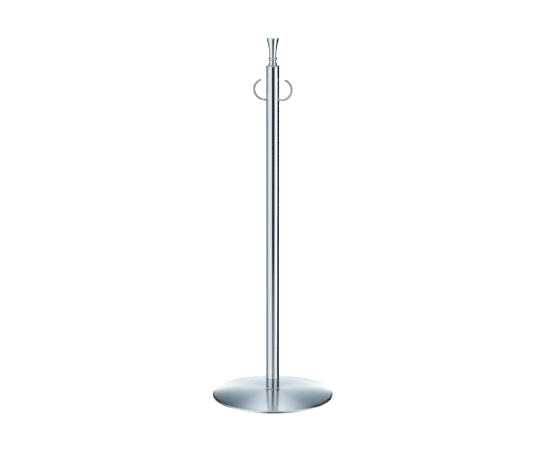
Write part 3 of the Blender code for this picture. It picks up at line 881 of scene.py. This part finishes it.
def make_bead():
    """A washer with a half-round edge."""
    low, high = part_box("finial_ring")
    bead = (high.z - low.z) / 2
    outline = [(M10_HOLE, high.z)]
    outline += arc((high.x - bead, low.z + bead), bead, math.pi / 2, -math.pi / 2, 28)
    outline.append((M10_HOLE, low.z))
    piece = lathe("neck_bead", outline, MEDIUM_STEPS)
    ride_for(piece, "finial_ring", CHROME)


def make_trumpet():
    """The finial's flared top: a slightly domed face, a thin rounded rim and a bored foot."""
    low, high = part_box("finial_trumpet")
    bore, depth, crown_rows = M10_HOLE, 18.0 * MM, 24
    rim_height = high.z - TRUMPET_CROWN
    inner = high.x - TRUMPET_EDGE_RADIUS
    outline = []
    for i in range(crown_rows):
        share = i / crown_rows
        outline.append((inner * share, rim_height + TRUMPET_CROWN * (1.0 - share**2)))
    edge = rim_height - TRUMPET_EDGE_RADIUS
    outline += arc((inner, edge), TRUMPET_EDGE_RADIUS, math.pi / 2, 0.0, 8)
    waist = low.z + TRUMPET_WAIST
    for i in range(1, FLARE_ROWS + 1):
        share = 1.0 - i / FLARE_ROWS
        radius = NECK_RADIUS + (high.x - NECK_RADIUS) * share**TRUMPET_POWER
        outline.append((radius, waist + (edge - waist) * share))
    outline += rounded([(NECK_RADIUS, waist, 0.0), (NECK_RADIUS + 0.3 * MM, low.z, 0.15 * MM),
                        (bore, low.z, 0.0)])[1:-1]
    outline += [(bore, low.z), (bore, low.z + depth), (0.0, low.z + depth)]
    piece = lathe("flared_top", outline, MEDIUM_STEPS)
    ride_for(piece, "finial_trumpet", CHROME)


# ---------------------------------------------------------------- studio


def towards(azimuth, distance, height=0.0):
    """A point at an azimuth from the camera's side, positive to the right as the camera sees it."""
    angle = CAMERA_AZIMUTH - math.pi / 2 + azimuth
    return Vector((distance * math.cos(angle), distance * math.sin(angle), height))


def board_material(name, first, last, start, end, upward):
    """Emission that runs from one colour to another, over distance from the axis or over height."""
    material = bpy.data.materials.new(name)
    material.use_nodes = True
    material.cycles.emission_sampling = "NONE"
    tree = material.node_tree
    tree.nodes.clear()
    output = tree.nodes.new("ShaderNodeOutputMaterial")
    glow = tree.nodes.new("ShaderNodeEmission")
    place = tree.nodes.new("ShaderNodeTexCoord")
    measure = tree.nodes.new("ShaderNodeSeparateXYZ" if upward else "ShaderNodeVectorMath")
    if not upward:
        measure.operation = "LENGTH"
    ramp = tree.nodes.new("ShaderNodeMapRange")
    mix = tree.nodes.new("ShaderNodeMix")
    mix.data_type = "RGBA"
    ramp.inputs["From Min"].default_value = start
    ramp.inputs["From Max"].default_value = end
    mix.inputs["A"].default_value = (*first, 1.0)
    mix.inputs["B"].default_value = (*last, 1.0)
    tree.links.new(place.outputs["Object"], measure.inputs[0])
    tree.links.new(measure.outputs["Z" if upward else "Value"], ramp.inputs["Value"])
    tree.links.new(ramp.outputs["Result"], mix.inputs["Factor"])
    tree.links.new(mix.outputs["Result"], glow.inputs["Color"])
    tree.links.new(glow.outputs["Emission"], output.inputs["Surface"])
    return material


def board(name, point_of, rows, material):
    """A curved board from a grid of points: point_of(u, v) for u and v from 0 to 1.

    It shows in shiny metal and nowhere else.
    """
    mesh = bpy.data.meshes.new(name)
    points, faces = [], []
    for row in range(rows + 1):
        for column in range(BOARD_COLUMNS + 1):
            points.append(point_of(column / BOARD_COLUMNS, row / rows))
    for row in range(rows):
        for column in range(BOARD_COLUMNS):
            first = row * (BOARD_COLUMNS + 1) + column
            above = first + BOARD_COLUMNS + 1
            faces.append((first, first + 1, above + 1, above))
    mesh.from_pydata([tuple(p) for p in points], [], faces)
    mesh.materials.append(material)
    piece = bpy.data.objects.new(name, mesh)
    bpy.context.scene.collection.objects.link(piece)
    piece.visible_camera = False
    piece.visible_diffuse = False
    piece.visible_transmission = False
    piece.visible_volume_scatter = False
    piece.visible_shadow = False


def floor_board(name, azimuths, radii, near, far, reach):
    """A sector of the floor between two azimuths in degrees, and between two radii."""
    (start, end), (inner, outer) = azimuths, radii

    def point(u, v):
        azimuth = (start + (end - start) * u) * DEGREE
        return towards(azimuth, inner + (outer - inner) * v, FLOOR_BOARD_HEIGHT)

    board(name, point, 1, board_material(name, near, far, 0.0, reach, upward=False))


def sky_board(name, azimuths, elevations, lower, upper):
    """A patch of a great sphere round the post, between two azimuths and two elevations in degrees."""
    (start, end), (low, high) = azimuths, elevations

    def point(u, v):
        elevation = (low + (high - low) * v) * DEGREE
        azimuth = (start + (end - start) * u) * DEGREE
        return towards(azimuth, SKY_RADIUS * math.cos(elevation), SKY_RADIUS * math.sin(elevation))

    bottom, top = (SKY_RADIUS * math.sin(angle * DEGREE) for angle in elevations)
    board(name, point, 8, board_material(name, lower, upper, bottom, top, upward=True))


def make_studio():
    """A white room with black flags in front and at both rear corners, a glow low at the back, and a
    painted shadow ring round the dome's rim.

    Angles are degrees, radii are metres, and each pair of colours runs outwards or upwards.
    """
    black, ink = (0.0, 0.002, 0.004), (0.006, 0.014, 0.016)
    shade = (0.08, 0.09, 0.10)
    whole, beyond, close = (0.02, 11.9), (0.18, 11.9), (0.15, 0.18)
    for word, left, right, radii in (
        ("near", -12.5, 22.5, (0.02, 1.5)),
        ("middle", -13.5, 23.0, (1.5, 3.0)),
        ("far", -15.0, 24.0, (3.0, 11.9)),
    ):
        floor_board("floor_flag_" + word, (left, right), radii, (0.305, 0.355, 0.355), ink, 1.42)
        floor_board("floor_left_" + word, (-19, left), radii, (0.62, 0.70, 0.74), (0.42, 0.50, 0.54), 2.0)
        floor_board("floor_right_" + word, (right, 27), radii, (0.40, 0.48, 0.48), (0.10, 0.15, 0.15), 2.0)
    floor_board("floor_haze_right", (27, 38), whole, (0.70, 0.76, 0.77), (0.42, 0.47, 0.48), 2.0)
    # Painted shadow: a dark ring of floor just outside the rim, which the rim's curl reflects as the
    # floor's contact shadow under the base.
    floor_board("floor_contact_shadow_right", (48, 84), close, shade, shade, 1.0)
    for word, edge, radii in (
        ("near", 78.5, (0.18, 0.5)),
        ("close", 79.5, (0.5, 1.0)),
        ("middle", 81.0, (1.0, 2.0)),
        ("far", 84.0, (2.0, 11.9)),
    ):
        glow = (0.90, 1.00, 1.00), (1.50, 1.55, 1.56)
        floor_board("floor_glow_right_" + word, (57, edge), radii, *glow, 1.0)
        floor_board("floor_flag_right_" + word, (edge, 166), radii, black, black, 1.0)
    floor_board("floor_back", (166, 194), whole, (0.65, 0.70, 0.70), (0.28, 0.30, 0.30), 2.5)
    floor_board("floor_flag_left", (-166, -106), whole, (0.01, 0.02, 0.03), (0.05, 0.06, 0.07), 0.8)
    floor_board("floor_haze_left", (-106, -80), beyond, (0.48, 0.54, 0.58), (0.60, 0.65, 0.69), 1.0)
    # Painted shadow on the left side: the same dark ring of contact shadow for the rim to reflect.
    floor_board("floor_contact_shadow_left", (-106, -48), close, shade, shade, 1.0)

    sky_board("sky_flag_front", (-14, 22), (0, 45), ink, ink)
    sky_board("sky_fade_front", (-14, 22), (45, 70), (0.06, 0.12, 0.14), (0.50, 0.60, 0.63))
    sky_board("sky_edge_left", (-26, -14), (21, 46), (0.10, 0.18, 0.20), (0.10, 0.18, 0.20))
    sky_board("sky_haze_right", (22, 38), (0, 46), (0.42, 0.50, 0.52), (0.60, 0.70, 0.72))
    sky_board("sky_edge_right", (70, 84), (0, 70), (0.30, 0.36, 0.40), (0.75, 0.80, 0.85))
    sky_board("sky_flag_right", (84, 166.5), (0, 48), black, black)
    sky_board("sky_fade_right", (84, 168), (48, 70), (0.02, 0.04, 0.06), (0.45, 0.55, 0.58))
    sky_board("sky_haze_left", (-100, -78), (0, 70), (0.30, 0.38, 0.42), (0.55, 0.64, 0.70))
    sky_board("sky_edge_back", (-120, -100), (0, 70), (0.04, 0.06, 0.08), (0.50, 0.62, 0.68))
    sky_board("sky_flag_left", (-168, -120), (0, 43), black, black)
    sky_board("sky_fade_left", (-168, -120), (43, 70), (0.02, 0.06, 0.10), (0.40, 0.52, 0.57))
    sky_board("sky_glow_back", (168, 192), (0, 12), (2.05, 2.05, 2.08), (1.05, 1.08, 1.10))
    sky_board("sky_strip_back", (176, 184), (12, 21), (1.10, 1.13, 1.15), (0.85, 0.92, 0.96))
    sky_board("sky_strip_above", (176, 184), (21, 36), (0.78, 0.86, 0.90), (0.48, 0.62, 0.70))
    for side, azimuths in (("left", (184, 192)), ("right", (168, 176))):
        sky_board("sky_dusk_" + side, azimuths, (12, 21), (0.95, 1.00, 1.03), (0.38, 0.48, 0.54))
        sky_board("sky_band_" + side, azimuths, (21, 36), (0.30, 0.44, 0.54), (0.26, 0.41, 0.51))
    sky_board("sky_rise_back", (168, 192), (36, 44), (0.36, 0.48, 0.58), (1.15, 1.18, 1.22))
    sky_board("sky_high_back", (168, 192), (44, 70), (1.36, 1.36, 1.40), (0.92, 0.97, 1.02))
    sky_board("sky_crown", (-180, 180), (70, 90), (0.72, 0.82, 0.84), (0.72, 0.82, 0.84))


def make_floor():
    """White paper, a hair below the pad so that the two never share a plane."""
    mesh = bpy.data.meshes.new("floor")
    side = FLOOR_HALF_WIDTH
    corners = [(-side, -side, 0.0), (side, -side, 0.0), (side, side, 0.0), (-side, side, 0.0)]
    mesh.from_pydata(corners, [], [(0, 1, 2, 3)])
    floor = bpy.data.objects.new("floor", mesh)
    floor.location.z = -FLOOR_DROP
    bpy.context.scene.collection.objects.link(floor)
    paper = Shader("white_paper", 0.9, 0.0)
    fibre = paper.noise(40.0, 3.0, 0.5)
    paper.feed("Base Color", paper.tint(fibre, (0.44, 0.44, 0.44), (0.46, 0.46, 0.46)))
    paper.set("Specular IOR Level", 0.0)
    paper.feed("Emission Color", paper.tint(fibre, (0.985, 0.985, 0.985), (1.0, 1.0, 1.0)))
    paper.set("Emission Strength", 0.88)
    mesh.materials.append(paper.material)
    floor.visible_glossy = False


def make_world():
    scene = bpy.context.scene
    world = bpy.data.worlds.new("studio")
    scene.world = world
    world.use_nodes = True
    background = world.node_tree.nodes["Background"]
    background.inputs["Color"].default_value = (0.95, 1.0, 1.04, 1.0)
    background.inputs["Strength"].default_value = 1.0
    scene.view_settings.view_transform = "Standard"


def make_lamp():
    """A broad soft light overhead, for the floor and the pieces that aren't shiny."""
    light = bpy.data.lights.new("overhead", "SUN")
    light.energy = 0.9
    light.angle = 100 * DEGREE
    lamp = bpy.data.objects.new("overhead", light)
    lamp.rotation_euler = (18 * DEGREE, -14 * DEGREE, 0.0)
    lamp.visible_glossy = False
    bpy.context.scene.collection.objects.link(lamp)


def make_camera():
    data = bpy.data.cameras.new("camera")
    data.lens = CAMERA_FOCAL_MM
    data.clip_end = 100.0
    camera = bpy.data.objects.new("camera", data)
    camera.location = towards(0.0, CAMERA_DISTANCE, CAMERA_HEIGHT)
    aim = towards(-90 * DEGREE, CAMERA_AIM_ASIDE, CAMERA_AIM_HEIGHT)
    camera.rotation_euler = (aim - camera.location).to_track_quat("-Z", "Y").to_euler()
    bpy.context.scene.collection.objects.link(camera)
    bpy.context.scene.camera = camera


# ---------------------------------------------------------------- everything

HOOK_ROD_RADIUS = (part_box("hook_right")[1].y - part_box("hook_right")[0].y) / 2

make_camera()
make_cover()
make_ballast()
make_floor_pad()
make_base_bolt()
make_washer("bolt_washer", "pocket_washer", ZINC)
make_washer("nut_washer", "flat_washer", ZINC)
make_lock_washer()
make_clamp_nut()
make_gasket()
make_tube()
make_foot_plug()
make_hook_block()
for side, word in ((-1, "left"), (1, "right")):
    make_hook("hook_" + word, "rope_hook_" + word, side)
    make_set_screw("hook_screw_" + word, "lock_screw_" + word)
make_top_cap()
make_washer("finial_washer", "nylon_washer", NYLON, M10_HOLE, 0.2 * MM)
make_stud()
make_collar()
make_bead()
make_trumpet()
make_studio()
make_floor()
make_world()
make_lamp()
